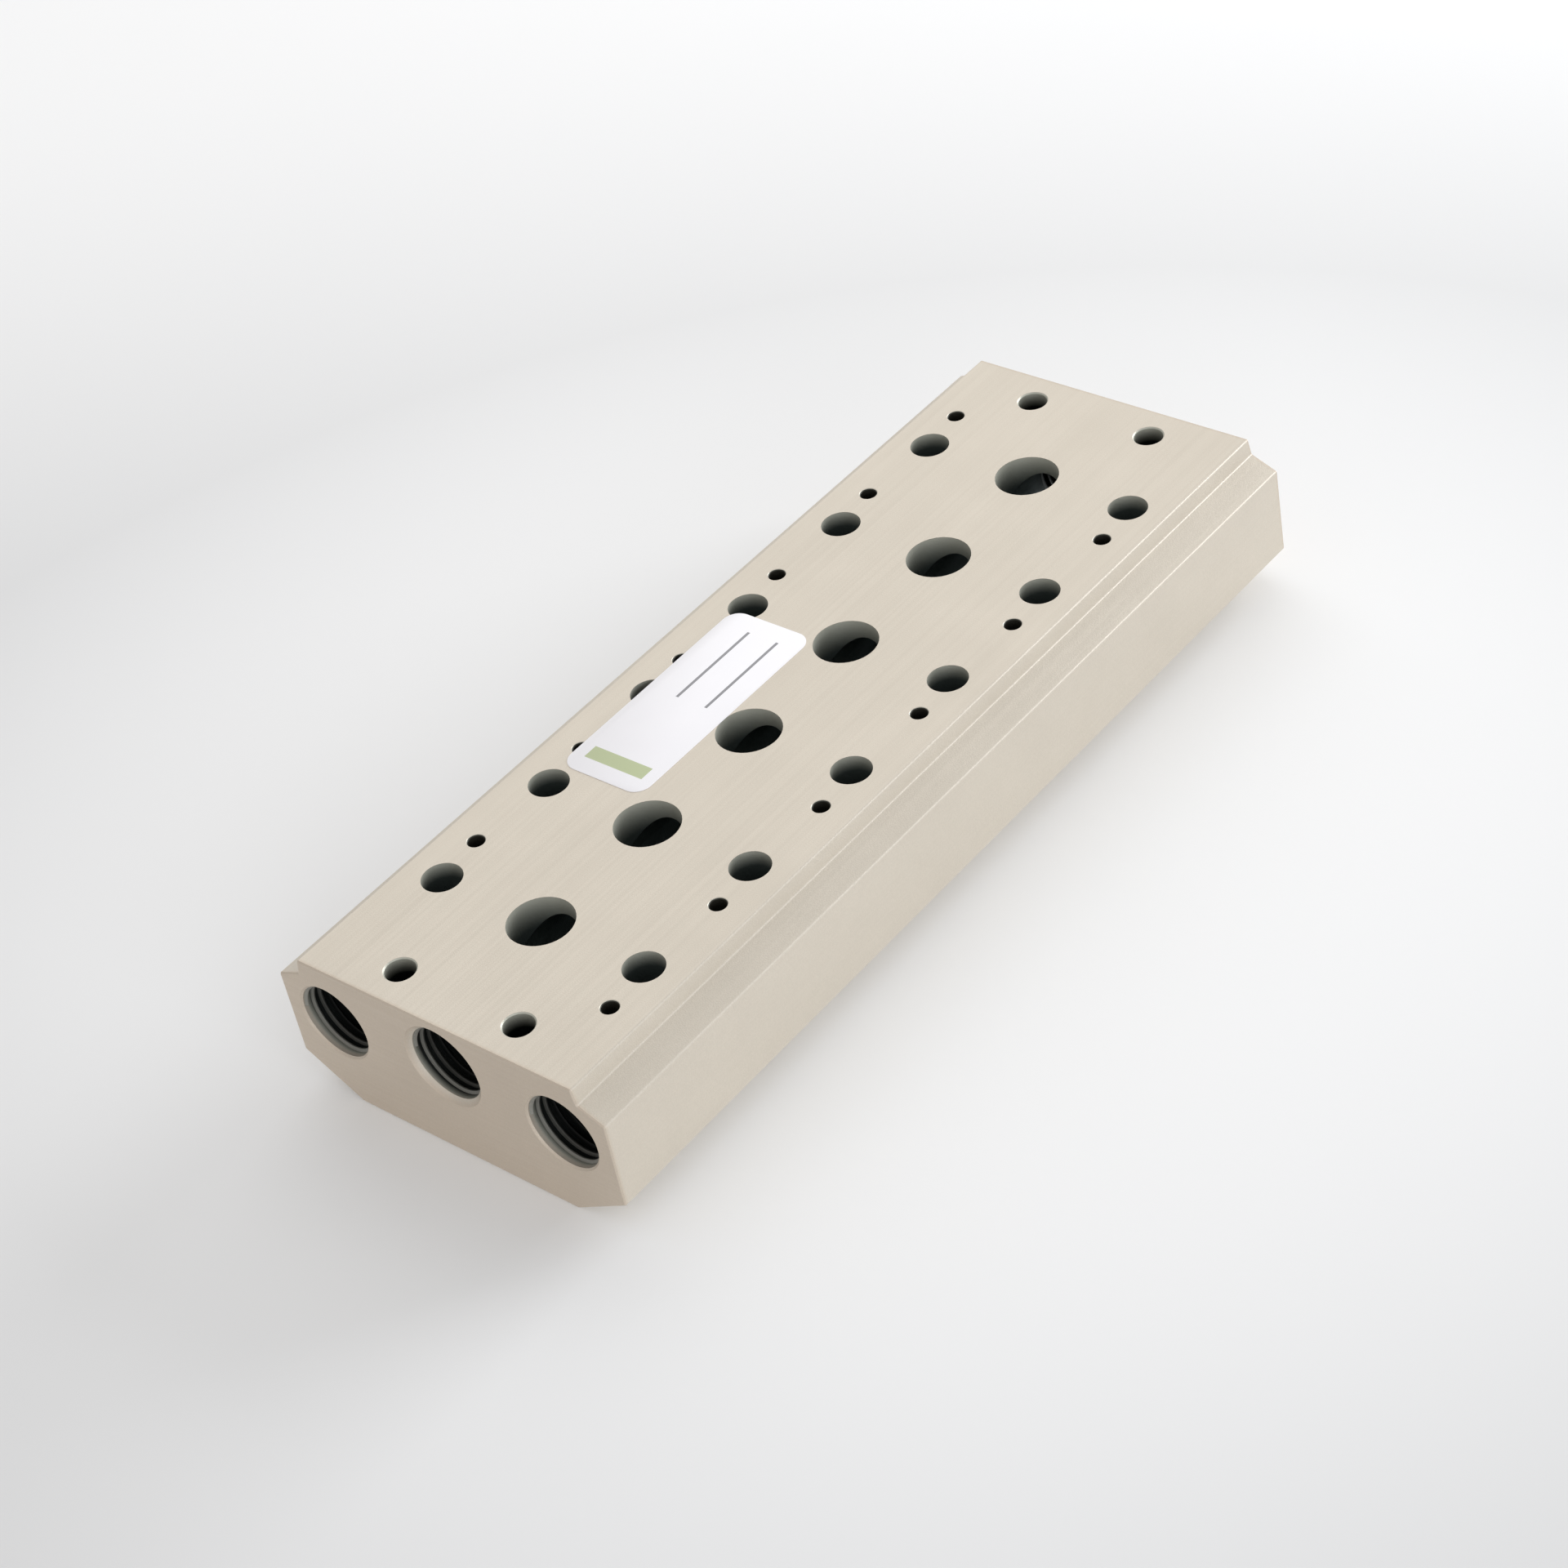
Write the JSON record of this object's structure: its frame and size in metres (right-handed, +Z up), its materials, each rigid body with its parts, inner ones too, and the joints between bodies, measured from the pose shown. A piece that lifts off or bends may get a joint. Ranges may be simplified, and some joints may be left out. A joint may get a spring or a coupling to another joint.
{
  "type": "valve manifold block",
  "caption": "Long stepped aluminium manifold block with a flat valve seat, a row of valve stations, threaded ports at both ends and bevelled lower edges.",
  "frame": {"origin": "middle of the flat base", "axes": "+X along the block, +Y across it, +Z up out of the valve seat"},
  "size_m": [0.161, 0.061, 0.025],
  "materials": {
    "anodised_aluminium": "matte champagne anodised"
  },
  "bodies": {
    "root": {"manifold_block": "anodised_aluminium"}
  },
  "joints": []
}
